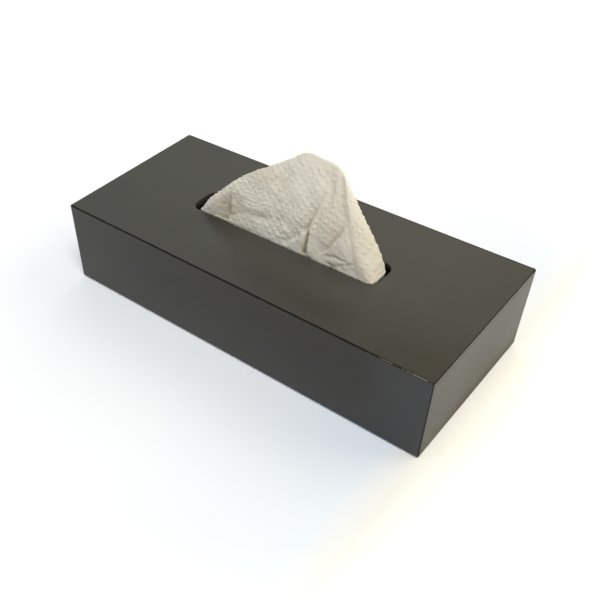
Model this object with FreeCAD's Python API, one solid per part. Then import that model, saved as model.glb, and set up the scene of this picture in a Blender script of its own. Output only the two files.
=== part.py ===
import FreeCAD, Part
import os

from FreeCAD import Vector

# Tissue box with a drawer: a flat casing of thin lacquered boards with a rounded slot in its top,
# and a drawer that holds the folded tissues and slides out of the right-hand end.
#
# Millimetres. +X runs along the box to the drawer front, +Y to the back, +Z up.
# The origin is on the table, under the middle of the box.

# ---------------------------------------------------------------- driving sizes

# casing
box_length = 260.0
box_width = 115.0
box_height = 56.0          # the boards alone, without the pads under them
board = 3.0                # thickness of every casing board
edge_round = 0.9           # outer edges of the casing
arris_round = 0.3          # edges softened by hand only, such as those along the drawer seam

# slot that the tissues come out of
slot_length = 134.0
slot_width = 23.0
slot_corner = 6.5
slot_rim_round = 0.5

# felt pads under the base
pad_diameter = 11.0
pad_height = 1.0
pad_inset = 11.5           # from the outer faces to the middle of a pad

# scallop in the base for the fingertip that draws the drawer out
scallop_width = 32.0
scallop_depth = 12.0

# low-friction strips that the drawer sides run on
glide_width = 8.0
glide_thickness = 0.8
glide_end_inset = 2.0

# drawer boards
drawer_front_board = 3.0
drawer_board = 3.0         # sides, back and bottom
drawer_back_height = 27.0
bottom_raise = 2.0         # from the lower edge of the sides up to the bottom panel
groove_depth = 1.5         # how far the bottom panel enters the boards around it
housing_depth = 1.2        # how far the sides enter the drawer front
finger_height = 5.4        # wanted height of one finger of the corner joints
drawer_edge_round = 0.8
lead_in = 1.0              # bevel along the lower rear edge, which enters the casing first

# clearances of the drawer in the casing
running_gap = 0.1          # over the glide strips
seam_gap = 0.15            # at each side of the drawer front
seam_top_gap = 0.25        # between the drawer front and the top panel
closing_gap = 0.1          # between the drawer front and the end of the base
side_gap = 0.4             # between the drawer sides and the casing
lift_gap = 0.4             # between the drawer sides and the top panel
rear_gap = 0.5             # behind the drawer

# stop that keeps the drawer from falling out
pin_diameter = 4.0
pin_bevel = 0.4
pin_spacing = 60.0
pin_end_inset = 15.0       # from the open end of the base to the pins
pin_top_gap = 0.4          # under the drawer bottom
cleat_inset = 5.0          # from the rear of the drawer
cleat_width = 6.0
cleat_length = 76.0
cleat_round = 0.6
cleat_floor_gap = 0.4      # over the base
stop_gap = 0.2             # left between cleat and pins at full travel

# magnet catch
catch_diameter = 10.0
magnet_thickness = 2.0
strike_thickness = 1.0
catch_rise = 12.0          # from the lower edge of the drawer back to the middle of the catch

# folded tissues in the drawer, and the one that stands out of the slot
stack_length = 200.0
stack_side_gap = 1.1       # beside the stack, in the drawer
stack_height = 24.0
stack_round = 2.0
tissue_gap = 0.35          # to the edge of the slot, and to what lies below
tissue_left_open = 7.0     # slot left free at the end where no tissue stands
tissue_rise = 59.0         # of the standing tissue above the top panel
ridge_left = 14.0          # the standing tissue's top ridge, from the middle of the slot
ridge_right = 34.5
ridge_front = -2.6
ridge_back = 1.4
arch_bow = 9.5             # how far the left slope bows out from a straight line
heel_bow = 1.6             # and the right one
tissue_corner = 6.0        # bevel at the right-hand corners of the mouth
tissue_tuck = 30.0         # the back layer runs back to the left fold over this length
tissue_levels = 3          # straight stretches from the mouth to the ridge

# ---------------------------------------------------------------- places worked out from them

left = -box_length / 2
right = box_length / 2
front = -box_width / 2
back = box_width / 2
base_low = pad_height
base_high = base_low + board
top_high = pad_height + box_height
top_low = top_high - board

inner_left = left + board
inner_front = front + board
inner_back = back - board

drawer_front_inside = right - drawer_front_board
base_right = drawer_front_inside - closing_gap

glide_high = base_high + glide_thickness
drawer_low = glide_high + running_gap
drawer_side_high = top_low - lift_gap
drawer_outer = inner_back - side_gap
drawer_inner = drawer_outer - drawer_board
drawer_rear = inner_left + rear_gap
drawer_back_inside = drawer_rear + drawer_board
drawer_back_high = drawer_low + drawer_back_height
bottom_low = drawer_low + bottom_raise
bottom_high = bottom_low + drawer_board

pin_x = base_right - pin_end_inset
cleat_rear = drawer_rear + cleat_inset
cleat_front = cleat_rear + cleat_width
drawer_travel = pin_x - pin_diameter / 2 - stop_gap - cleat_front

catch_z = drawer_low + catch_rise

stack_high = bottom_high + stack_height
tail_low = max(stack_high, drawer_back_high) + tissue_gap


# ---------------------------------------------------------------- helpers

def block(x, y, z):
    """A rectangular board between two coordinates along each axis."""
    return Part.makeBox(x[1] - x[0], y[1] - y[0], z[1] - z[0], Vector(x[0], y[0], z[0]))


def lies_on(edge, place):
    """True if every corner of the edge has the coordinates that place gives, such as {"x": 5, "z": 2}."""
    return all(
        abs(getattr(vertex, axis.upper()) - value) < 1e-6
        for vertex in edge.Vertexes
        for axis, value in place.items()
    )


def edges_at(shape, places):
    """The edges of the shape that lie on any of the places."""
    return [edge for edge in shape.Edges if any(lies_on(edge, place) for place in places)]


def soften(shape, radius, *places):
    """Rounds the edges that lie on any of the places."""
    return shape.makeFillet(radius, edges_at(shape, places))


def rounded_outline(x, y, radius, z):
    """A rectangle with rounded corners as a closed wire at height z."""
    low_x, high_x = x[0] + radius, x[1] - radius
    low_y, high_y = y[0] + radius, y[1] - radius
    lean = radius * 0.5 ** 0.5
    lines_and_arcs = [
        Part.LineSegment(Vector(low_x, y[0], z), Vector(high_x, y[0], z)),
        Part.Arc(
            Vector(high_x, y[0], z),
            Vector(high_x + lean, low_y - lean, z),
            Vector(x[1], low_y, z),
        ),
        Part.LineSegment(Vector(x[1], low_y, z), Vector(x[1], high_y, z)),
        Part.Arc(
            Vector(x[1], high_y, z),
            Vector(high_x + lean, high_y + lean, z),
            Vector(high_x, y[1], z),
        ),
        Part.LineSegment(Vector(high_x, y[1], z), Vector(low_x, y[1], z)),
        Part.Arc(
            Vector(low_x, y[1], z),
            Vector(low_x - lean, high_y + lean, z),
            Vector(x[0], high_y, z),
        ),
        Part.LineSegment(Vector(x[0], high_y, z), Vector(x[0], low_y, z)),
        Part.Arc(
            Vector(x[0], low_y, z),
            Vector(low_x - lean, low_y - lean, z),
            Vector(low_x, y[0], z),
        ),
    ]
    return Part.Wire([piece.toShape() for piece in lines_and_arcs])


def mirrored(shape):
    """The same piece on the other side of the box."""
    return shape.mirror(Vector(0, 0, 0), Vector(0, 1, 0))


def disc(diameter, x, z, thickness):
    """A flat disc that lies against an end of the box, from x towards +X, on the middle line."""
    return Part.makeCylinder(diameter / 2, thickness, Vector(x, 0, z), Vector(1, 0, 0))


# ---------------------------------------------------------------- casing

def make_top_panel():
    """Full-size board with the rounded slot, its upper edges and the slot's rim rounded over."""
    panel = block((left, right), (front, back), (top_low, top_high))
    panel = soften(
        panel,
        edge_round,
        {"x": left, "z": top_high},
        {"x": right, "z": top_high},
        {"y": front, "z": top_high},
        {"y": back, "z": top_high},
        {"x": left, "y": front},
        {"x": left, "y": back},
        {"x": right, "y": front},
        {"x": right, "y": back},
    )
    half_length = slot_length / 2
    half_width = slot_width / 2
    outline = rounded_outline(
        (-half_length, half_length), (-half_width, half_width), slot_corner, top_low
    )
    panel = panel.cut(Part.Face(outline).extrude(Vector(0, 0, board)))
    rim = [
        edge
        for edge in panel.Edges
        if lies_on(edge, {"z": top_high})
        and edge.BoundBox.XMin > -half_length - slot_rim_round
        and edge.BoundBox.XMax < half_length + slot_rim_round
        and edge.BoundBox.YMax < half_width + slot_rim_round
        and edge.BoundBox.YMin > -half_width - slot_rim_round
    ]
    return panel.makeFillet(slot_rim_round, rim)


def make_front_panel():
    """Long side board. It runs the whole length, so its ends show at both ends of the box."""
    panel = block((left, right), (front, inner_front), (base_low, top_low))
    return soften(
        panel,
        edge_round,
        {"x": left, "y": front},
        {"x": right, "y": front},
        {"y": front, "z": base_low},
        {"x": left, "z": base_low},
        {"x": right, "z": base_low},
    )


def make_left_end_panel():
    """Closed end, glued between the long sides, with a blind pocket for the magnet."""
    panel = block((left, inner_left), (inner_front, inner_back), (base_low, top_low))
    panel = soften(panel, edge_round, {"x": left, "z": base_low})
    return panel.cut(
        disc(catch_diameter, inner_left - magnet_thickness, catch_z, magnet_thickness)
    )


def make_base_panel():
    """Floor of the casing, with pin holes and the fingertip scallop in its open end."""
    panel = block((inner_left, base_right), (inner_front, inner_back), (base_low, base_high))
    scallop_radius = (scallop_width ** 2 / 4 + scallop_depth ** 2) / (2 * scallop_depth)
    scallop_x = base_right - scallop_depth + scallop_radius
    scallop = Part.makeCylinder(scallop_radius, board, Vector(scallop_x, 0, base_low))
    return panel.cut(scallop).cut(make_stop_pins())


def make_glide_strip():
    """Strip along the foot of the front panel, under the lower edge of a drawer side."""
    return block(
        (inner_left + glide_end_inset, base_right - glide_end_inset),
        (inner_front, inner_front + glide_width),
        (base_high, glide_high),
    )


def make_stop_pins():
    """Two pins pressed through the base from below, once the drawer is in, with bevelled tops."""
    straight = bottom_low - pin_top_gap - pin_bevel - base_low
    pins = []
    for side in (-1, 1):
        foot = Vector(pin_x, side * pin_spacing / 2, base_low)
        shank = Part.makeCylinder(pin_diameter / 2, straight, foot)
        tip = Part.makeCone(
            pin_diameter / 2, pin_diameter / 2 - pin_bevel, pin_bevel, foot + Vector(0, 0, straight)
        )
        pins.append(shank.fuse(tip))
    return Part.makeCompound(pins)


def make_pad(end, side):
    """Felt pad under one corner; end and side are -1 or 1."""
    middle = Vector(end * (right - pad_inset), side * (back - pad_inset), 0)
    return Part.makeCylinder(pad_diameter / 2, pad_height, middle)


def make_catch_magnet():
    return disc(catch_diameter, inner_left - magnet_thickness, catch_z, magnet_thickness)


# ---------------------------------------------------------------- drawer

def make_drawer_front():
    """End board, flush between the long sides and under the top panel, housed for what it carries."""
    half_width = inner_back - seam_gap
    high = top_low - seam_top_gap
    panel = block((drawer_front_inside, right), (-half_width, half_width), (base_low, high))
    panel = soften(panel, edge_round, {"x": right, "z": base_low})
    panel = soften(panel, arris_round, {"x": right, "z": high})
    side = make_drawer_side()
    return panel.cut(side).cut(mirrored(side)).cut(make_drawer_bottom())


def make_drawer_bottom():
    """Bottom panel, held in a groove all round."""
    reach = drawer_inner + groove_depth
    return block(
        (drawer_back_inside - groove_depth, drawer_front_inside + groove_depth),
        (-reach, reach),
        (bottom_low, bottom_high),
    )


def make_corner_fingers(side):
    """The fingers of the drawer back that pass through one drawer side."""
    count = 2 * max(1, round(drawer_back_height / finger_height / 2)) + 1
    height = drawer_back_height / count
    inner, outer = sorted((side * drawer_inner, side * drawer_outer))
    return [
        block(
            (drawer_rear, drawer_back_inside),
            (inner, outer),
            (drawer_low + step * height, drawer_low + (step + 1) * height),
        )
        for step in range(0, count, 2)
    ]


def make_drawer_back():
    """Low rear board with a finger joint at each end and a pocket for the strike disc."""
    panel = block(
        (drawer_rear, drawer_back_inside),
        (-drawer_inner, drawer_inner),
        (drawer_low, drawer_back_high),
    )
    panel = panel.fuse(make_corner_fingers(-1) + make_corner_fingers(1)).removeSplitter()
    panel = panel.makeChamfer(lead_in, edges_at(panel, [{"x": drawer_rear, "z": drawer_low}]))
    return panel.cut(make_strike_disc()).cut(make_drawer_bottom())


def make_drawer_side():
    """Side board next to the front panel: grooved for the bottom, cut away for the back's fingers."""
    panel = block(
        (drawer_rear, drawer_front_inside + housing_depth),
        (-drawer_outer, -drawer_inner),
        (drawer_low, drawer_side_high),
    )
    panel = soften(
        panel,
        drawer_edge_round,
        {"y": -drawer_outer, "z": drawer_side_high},
        {"y": -drawer_inner, "z": drawer_side_high},
    )
    for finger in make_corner_fingers(-1):
        panel = panel.cut(finger)
    return panel.cut(make_drawer_bottom())


def make_stop_cleat():
    """Batten across the underside of the drawer, near its back, that meets the pins."""
    low = base_high + cleat_floor_gap
    half_length = cleat_length / 2
    cleat = block((cleat_rear, cleat_front), (-half_length, half_length), (low, bottom_low))
    return soften(cleat, cleat_round, {"x": cleat_rear, "z": low}, {"x": cleat_front, "z": low})


def make_strike_disc():
    return disc(catch_diameter, drawer_rear, catch_z, strike_thickness)


# ---------------------------------------------------------------- tissues

def make_tissue_stack():
    """Folded tissues lying in the drawer, as one soft block."""
    half_length = stack_length / 2
    half_width = drawer_inner - stack_side_gap
    stack = block(
        (-half_length, half_length), (-half_width, half_width), (bottom_high, stack_high)
    )
    return soften(
        stack,
        stack_round,
        {"x": -half_length, "y": -half_width},
        {"x": half_length, "y": -half_width},
        {"x": -half_length, "y": half_width},
        {"x": half_length, "y": half_width},
    )


def between(start, end, share, bow=0.0):
    """A value that runs from start to end, drawn aside by bow half-way."""
    return start + (end - start) * share - bow * 4 * share * (1 - share)


def tissue_outline(share, z):
    """Section of the standing tissue, from 0 at the mouth of the slot to 1 at the ridge."""
    mouth = slot_width / 2 - tissue_gap
    fold = between(-slot_length / 2 + tissue_left_open, ridge_left, share, arch_bow)
    heel = between(slot_length / 2 - tissue_gap, ridge_right, share, -heel_bow)
    front_y = between(-mouth, ridge_front, share)
    back_y = between(mouth, ridge_back, share)
    corner = tissue_corner * (back_y - front_y) / (2 * mouth)
    tuck = tissue_tuck * (1 - share)
    corners = [
        (fold, front_y),
        (heel - corner, front_y),
        (heel, front_y + corner),
        (heel, back_y - corner),
        (heel - corner, back_y),
        (fold + tuck, back_y),
    ]
    if share == 1:
        corners[-1] = (fold, back_y)
    return Part.makePolygon([Vector(x, y, z) for x, y in corners + corners[:1]])


def make_standing_tissue():
    """The tissue that stands in the slot: a hanging part below, a leaning tent with a ridge above."""
    sections = [tissue_outline(0, tail_low)]
    for level in range(tissue_levels + 1):
        share = level / tissue_levels
        sections.append(tissue_outline(share, top_high + tissue_rise * share))
    return Part.makeLoft(sections, True, True)


# ---------------------------------------------------------------- export

front_panel = make_front_panel()
glide_strip = make_glide_strip()
drawer_side = make_drawer_side()

pieces = {
    "top_panel": make_top_panel(),
    "front_panel": front_panel,
    "back_panel": mirrored(front_panel),
    "left_end_panel": make_left_end_panel(),
    "base_panel": make_base_panel(),
    "glide_strip_front": glide_strip,
    "glide_strip_back": mirrored(glide_strip),
    "stop_pins": make_stop_pins(),
    "catch_magnet": make_catch_magnet(),
    "drawer_front": make_drawer_front(),
    "drawer_side_front": drawer_side,
    "drawer_side_back": mirrored(drawer_side),
    "drawer_back": make_drawer_back(),
    "drawer_bottom": make_drawer_bottom(),
    "stop_cleat": make_stop_cleat(),
    "strike_disc": make_strike_disc(),
    "tissue_stack": make_tissue_stack(),
    "standing_tissue": make_standing_tissue(),
}
for end, end_name in ((-1, "left"), (1, "right")):
    for side, side_name in ((-1, "front"), (1, "back")):
        pieces[f"felt_pad_{side_name}_{end_name}"] = make_pad(end, side)

print(f"drawer travel {drawer_travel:.1f}")
os.makedirs("parts", exist_ok=True)
for name, shape in pieces.items():
    shape.exportStep(f"parts/{name}.step")
    print(f"{name}: {len(shape.Solids)} solid, {shape.Volume / 1000:.2f} cm3, valid {shape.isValid()}")
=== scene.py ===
# %% [markdown]
# # A lacquered tissue box with a drawer
#
# The rigid pieces come in from the CAD model and keep their shape. This lesson gives them their finish,
# and makes the two things that only look right as soft paper: the tissue that stands in the slot and the
# folded stack in the drawer. Blender works in metres; sizes below are in millimetres, turned to metres
# by one small function.

# %% Load the frame
import math

import bmesh
import bpy
import numpy as np
from mathutils import Matrix, Vector
from mathutils.geometry import delaunay_2d_cdt


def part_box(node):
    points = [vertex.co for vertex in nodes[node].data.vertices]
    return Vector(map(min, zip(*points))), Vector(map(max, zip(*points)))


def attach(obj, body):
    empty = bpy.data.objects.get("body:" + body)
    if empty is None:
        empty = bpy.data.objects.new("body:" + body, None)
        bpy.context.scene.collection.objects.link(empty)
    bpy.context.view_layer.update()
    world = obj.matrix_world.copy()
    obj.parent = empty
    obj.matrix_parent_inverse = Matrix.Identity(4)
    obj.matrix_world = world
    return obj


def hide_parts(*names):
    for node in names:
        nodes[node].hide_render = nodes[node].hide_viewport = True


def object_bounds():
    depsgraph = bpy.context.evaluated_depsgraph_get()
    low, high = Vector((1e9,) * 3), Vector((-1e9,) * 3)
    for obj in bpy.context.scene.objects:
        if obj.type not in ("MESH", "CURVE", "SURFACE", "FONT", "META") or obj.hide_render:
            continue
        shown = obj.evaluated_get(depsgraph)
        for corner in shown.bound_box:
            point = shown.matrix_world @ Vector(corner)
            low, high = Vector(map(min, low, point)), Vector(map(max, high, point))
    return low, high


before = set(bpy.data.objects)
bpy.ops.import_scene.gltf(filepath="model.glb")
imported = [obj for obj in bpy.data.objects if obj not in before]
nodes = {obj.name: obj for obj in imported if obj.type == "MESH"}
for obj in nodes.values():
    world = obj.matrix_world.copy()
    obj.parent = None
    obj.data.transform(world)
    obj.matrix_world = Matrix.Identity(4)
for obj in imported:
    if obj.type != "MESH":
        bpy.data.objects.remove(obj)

cad_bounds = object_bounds()
print("CAD pieces:", len(nodes))

# %% Sizes shared by the cells
def mm(value):
    """Millimetres to metres."""
    return value * 0.001


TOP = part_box("top_panel")[1][2]
print(f"the top panel's upper face is {TOP * 1000:.1f} mm above the table")

# %% [markdown]
# ## Camera
#
# A camera is easiest to place the way a photographer thinks: a point to look at, how far round and how
# high to stand, and how far away. A little roll tilts the frame, and the shift of the lens sets where in
# the frame it looks straight ahead.

# %% Camera
AIM = Vector((mm(3.3), mm(-70.8), mm(1.0)))
AZIMUTH, ELEVATION, ROLL = (math.radians(angle) for angle in (42.02, 44.49, -2.77))
DISTANCE = mm(468.2)
FRAME_PIXELS = 600
FOCAL_PIXELS = 781.9
CENTRE_X, CENTRE_Y = 219, 369  # the lens's own centre in the frame, in pixels
SENSOR = 36.0  # mm


def new_object(name, data):
    """An object in the scene that carries some data."""
    made = bpy.data.objects.new(name, data)
    bpy.context.scene.collection.objects.link(made)
    return made


def make_camera():
    data = bpy.data.cameras.new("camera")
    data.sensor_width = SENSOR
    data.lens = FOCAL_PIXELS / FRAME_PIXELS * SENSOR
    data.shift_x = (FRAME_PIXELS / 2 - CENTRE_X) / FRAME_PIXELS
    data.shift_y = (CENTRE_Y - FRAME_PIXELS / 2) / FRAME_PIXELS
    back = Vector((
        math.sin(AZIMUTH) * math.cos(ELEVATION),
        -math.cos(AZIMUTH) * math.cos(ELEVATION),
        math.sin(ELEVATION),
    ))
    level_right = (-back).cross(Vector((0, 0, 1))).normalized()
    level_up = level_right.cross(-back)
    right = level_right * math.cos(ROLL) + level_up * math.sin(ROLL)
    up = level_up * math.cos(ROLL) - level_right * math.sin(ROLL)
    camera = new_object("camera", data)
    turn = Matrix((right, up, back)).transposed().to_4x4()
    camera.matrix_world = Matrix.Translation(AIM + back * DISTANCE) @ turn
    data.clip_start = 0.01
    data.clip_end = 20.0
    bpy.context.scene.camera = camera
    return camera


camera = make_camera()
print(f"camera: {camera.data.lens:.1f} mm lens, {DISTANCE * 1000:.0f} mm away")

# %% [markdown]
# ## Helpers for materials
#
# Colours are picked as sRGB hex values, the way a paint chart gives them, and one function turns them
# to the linear values that shaders count in. Another adds a node of any kind with its settings and its
# links and hands back its output, so that a material reads as a list of what it is made of. A pattern's
# scale counts lumps to the metre, so it is worked out from the size of one lump in millimetres.

# %% Colours and nodes
FADE = "ShaderNodeMapRange"  # value, from, to, result at from, result at to
CLOUDS, BUMP, RAMP = "ShaderNodeTexNoise", "ShaderNodeBump", "ShaderNodeValToRGB"
SPLIT, JOIN = "ShaderNodeSeparateXYZ", "ShaderNodeCombineXYZ"
# short names with an output and settings of their own
WHERE = ("ShaderNodeTexCoord", "Object", {})
MIX = ("ShaderNodeMix", 2, {"data_type": "RGBA"})  # inputs 0 for the share, 6 and 7 for the colours
PLUS, MINUS, TIMES, TIMES_PLUS, POWER, MODULO, SINE, LEAST, MOST, BELOW = (
    ("ShaderNodeMath", 0, {"operation": name}) for name in
    ("ADD", "SUBTRACT", "MULTIPLY", "MULTIPLY_ADD", "POWER", "FLOORED_MODULO", "SINE", "MINIMUM", "MAXIMUM",
     "LESS_THAN")
)
SCALED, FRACTION, LENGTH, DOT = (
    ("ShaderNodeVectorMath", output, {"operation": name}) for name, output in
    (("MULTIPLY", 0), ("FRACTION", 0), ("LENGTH", "Value"), ("DOT_PRODUCT", "Value"))
)


def linear(hex_colour):
    """An sRGB hex colour such as '8A8172' as linear red, green, blue and alpha."""
    channels = [int(hex_colour[i:i + 2], 16) / 255 for i in (0, 2, 4)]
    curve = [c / 12.92 if c <= 0.04045 else ((c + 0.055) / 1.055) ** 2.4 for c in channels]
    return (*curve, 1.0)


def per_metre(size):
    """How many lumps of a size in mm go to the metre."""
    return 1000.0 / size


def plug(tree, node, inputs):
    """Gives sockets of a node, by name or number, a value or a link from another node's output."""
    for key, value in inputs.items():
        if isinstance(value, bpy.types.NodeSocket):
            tree.links.new(value, node.inputs[key])
        else:
            node.inputs[key].default_value = value


def add(tree, kind, inputs=(), output=0, stops=(), **settings):
    """Adds one node and returns one of its outputs, or several for a slice.

    inputs is a dictionary as in plug, or a list from the first socket on. stops are the positions and
    colours of a ramp.
    """
    if isinstance(kind, tuple):
        kind, output, settings = kind
    node = tree.nodes.new(kind)
    for key, value in settings.items():
        setattr(node, key, value)
    plug(tree, node, inputs if isinstance(inputs, dict) else dict(enumerate(inputs)))
    if stops:
        elements = node.color_ramp.elements
        while len(elements) < len(stops):
            elements.new(1.0)
        for element, (position, colour) in zip(elements, stops):
            element.position, element.color = position, colour
    return node.outputs[output]


def soft_steps(tree, rows, share=1.0):
    """The product of soft steps, each from a value, its two limits in mm, and the results at them."""
    for value, start, end, *results in rows:
        step = add(tree, FADE, [value, mm(start), mm(end), *results])
        share = add(tree, TIMES, [share, step])
    return share


def new_material(name):
    """A material with only its output and a Principled shader, which is returned with its tree."""
    material = bpy.data.materials.new(name)
    material.use_nodes = True
    return material, material.node_tree, material.node_tree.nodes["Principled BSDF"]


def dress(names, material):
    """Gives CAD pieces their finish."""
    for name in names:
        for material_slot in nodes[name].material_slots:
            material_slot.material = material
    print(material.name, "on", ", ".join(names))


# %% [markdown]
# ## Floor and light
#
# A satin black box shows little of its own colour. What the eye sees on it is the room, so the floor and
# the walls are part of its finish. The floor is matt white board with a faint glow of its own, warm to
# the right and cool to the left, which the long front and the drawer front mirror. Two large soft boxes
# stand behind the box and light its top at a low angle, one overhead gives the paper its relief, and a
# weak one in front fills the shadows. The walls are a plain sky with a bright warm patch at the back.

# %% Floor
FLOOR_REACH = 3.0  # metres from the middle
GLOW_SPAN = (-0.2, 0.2)  # metres along the box, from the start of the ramp to its end
NEAR_GLOW = [
    (0.125, (0.23, 0.24, 0.26, 1)), (0.5, (0.18, 0.19, 0.21, 1)), (0.78, (0.07, 0.105, 0.16, 1)),
    (0.828, (0.14, 0.12, 0.06, 1)), (0.90, (0.44, 0.40, 0.28, 1)),
]
FAR_GLOW = (0.42, 0.42, 0.42, 1)
FAR_FROM = (0.18, 0.34)  # metres from the middle, over which the near glow gives way


def make_floor():
    """Matt white backdrop board, which glows a little so that it stays white in the shade."""
    mesh = bpy.data.meshes.new("floor")
    corners = [(x * FLOOR_REACH, y * FLOOR_REACH, 0) for x, y in ((-1, -1), (1, -1), (1, 1), (-1, 1))]
    mesh.from_pydata(corners, [], [(0, 1, 2, 3)])
    floor = new_object("floor", mesh)
    material, tree, shader = new_material("matte_paper_backdrop")
    place = add(tree, WHERE)
    near = add(tree, RAMP, [add(tree, FADE, [add(tree, SPLIT, [place]), *GLOW_SPAN])], stops=NEAR_GLOW)
    far = add(tree, FADE, [add(tree, LENGTH, [place]), *FAR_FROM])
    plug(tree, shader, {
        "Base Color": linear("E4E7EC"), "Roughness": 0.9, "Emission Strength": 1.0,
        "Emission Color": add(tree, MIX, {0: far, 6: near, 7: FAR_GLOW}),
    })
    mesh.materials.append(material)


make_floor()
print(f"floor: {FLOOR_REACH:.0f} m of board each way, {len(NEAR_GLOW)} glows along it")

# %% Soft boxes and walls
SOFTBOXES = [  # name, where, what it faces, width and height in metres, watts, colour
    ("softbox_back_right", (1.0, 0.95, 1.0), (0, 0, 0.03), (1.3, 1.2), 11.0, "FFF1D2"),
    ("softbox_back_left", (-0.85, 1.05, 1.1), (0, 0, 0.05), (1.3, 1.0), 3.9, "EAF4F6"),
    ("softbox_front_left", (-0.9, -1.1, 1.0), (0, 0, 0.03), (1.0, 1.0), 1.0, "DDEBFF"),
    ("key_overhead_right", (0.5, -0.45, 1.35), (0.05, 0, 0.05), (0.5, 0.5), 12.0, "FFFAEE"),
]


def make_softbox(name, place, aim, size, power, colour):
    data = bpy.data.lights.new(name, "AREA")
    data.shape = "RECTANGLE"
    data.size, data.size_y = size
    data.energy = power
    data.color = linear(colour)[:3]
    light = new_object(name, data)
    light.location = place
    light.rotation_euler = (Vector(aim) - Vector(place)).to_track_quat("-Z", "Y").to_euler()


def make_walls():
    """A plain sky for walls: brighter towards the back, and warmest a little left of that."""
    world = bpy.data.worlds.new("studio")
    world.use_nodes = True
    sky = world.node_tree
    towards = add(sky, "ShaderNodeTexCoord", output="Generated")
    warm_way, bright_way = (
        add(sky, DOT, [towards, Vector(way).normalized()]) for way in ((-0.25, 0.74, 0.62), (0.0, 0.88, 0.47))
    )
    warm = add(sky, FADE, [warm_way, 0.78, 0.97])
    plug(sky, sky.nodes["Background"], {
        "Color": add(sky, MIX, {0: warm, 6: linear("EEF6FA"), 7: linear("FFF2D2")}),
        "Strength": add(sky, FADE, [bright_way, 0.87, 0.98, 0.38, 1.10]),
    })
    bpy.context.scene.world = world


for softbox in SOFTBOXES:
    make_softbox(*softbox)
make_walls()
bpy.context.scene.view_settings.view_transform = "Standard"
print(len(SOFTBOXES), "soft boxes,", sum(softbox[4] for softbox in SOFTBOXES), "W in all")

# %% [markdown]
# ## Lacquer
#
# The casing and the drawer front are sprayed in one satin, nearly black lacquer, and the spray leaves a
# faint orange peel. Along every arris a painted dark line stands for the dark room that the rounded edge
# mirrors, and on the arrises next to the drawer end a painted pale line stands for a highlight. Both
# lines need the distance to the nearest outer edge. On a face of a box one of the distances to its three
# pairs of sides is nil, so the distance to the nearest edge is the middle one of the three. The film's
# colour also carries painted light and shade in soft patches: paler on the top before the slot, against
# the shade the paper casts there, darker towards the front right corner of the top and over most of the
# front, a painted cool reflection towards the right end of the front, and darker and browner along the
# foot of the drawer front.

# %% Where on the casing
ALONG, ACROSS, UP = 0, 1, 2
casing_low, casing_high = Vector(cad_bounds[0]), Vector(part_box("top_panel")[1])
casing_low.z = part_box("front_panel")[0].z
HALF_WIDTH, HEIGHT = casing_high.y * 1000, casing_high.z * 1000


def nearest_edge(tree, axes):
    """Metres to the nearest outer edge of the casing, and metres to its nearer end."""
    gaps = []
    for axis, low, high in zip(axes, casing_low, casing_high):
        gaps.append(add(tree, LEAST, [add(tree, MINUS, [axis, low]), add(tree, MINUS, [high, axis])]))
    lesser, greater = add(tree, LEAST, gaps[:2]), add(tree, MOST, gaps[:2])
    return add(tree, MOST, [lesser, add(tree, LEAST, [greater, gaps[UP]])]), gaps[ALONG]


print("casing", [round(high - low, 4) for low, high in zip(casing_low, casing_high)], "m")

# %% Lacquer
SATIN_GLOSS = 0.41
ON_TOP = (UP, HEIGHT - 0.6, HEIGHT - 0.2)
ON_FRONT = (ACROSS, 0.5 - HALF_WIDTH, 0.1 - HALF_WIDTH)
PAINTED_TONES = [  # colour, share of the gloss that is left, limits of the region: axis, outside, inside in mm
    # painted light: paler on the top before the slot, against the shade the paper casts there
    ("45433E", 1.0, [(ACROSS, -45, -26), (ACROSS, 0, -6), (ALONG, -56, -20), (ALONG, 78, 58), ON_TOP]),
    # painted shade: darker towards the front right corner of the top
    ("2C281E", 0.93, [(ACROSS, -8, -45), (ALONG, 58, 98), ON_TOP]),
    # painted shade: darker over the upper front, all but its right end
    ("2B2820", 0.86, [(UP, 6, 40), (ALONG, 114, 88), ON_FRONT]),
    # painted reflection: cooler towards the right end of the front
    ("303234", 1.0, [(ALONG, 84, 126), ON_FRONT]),
]


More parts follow.
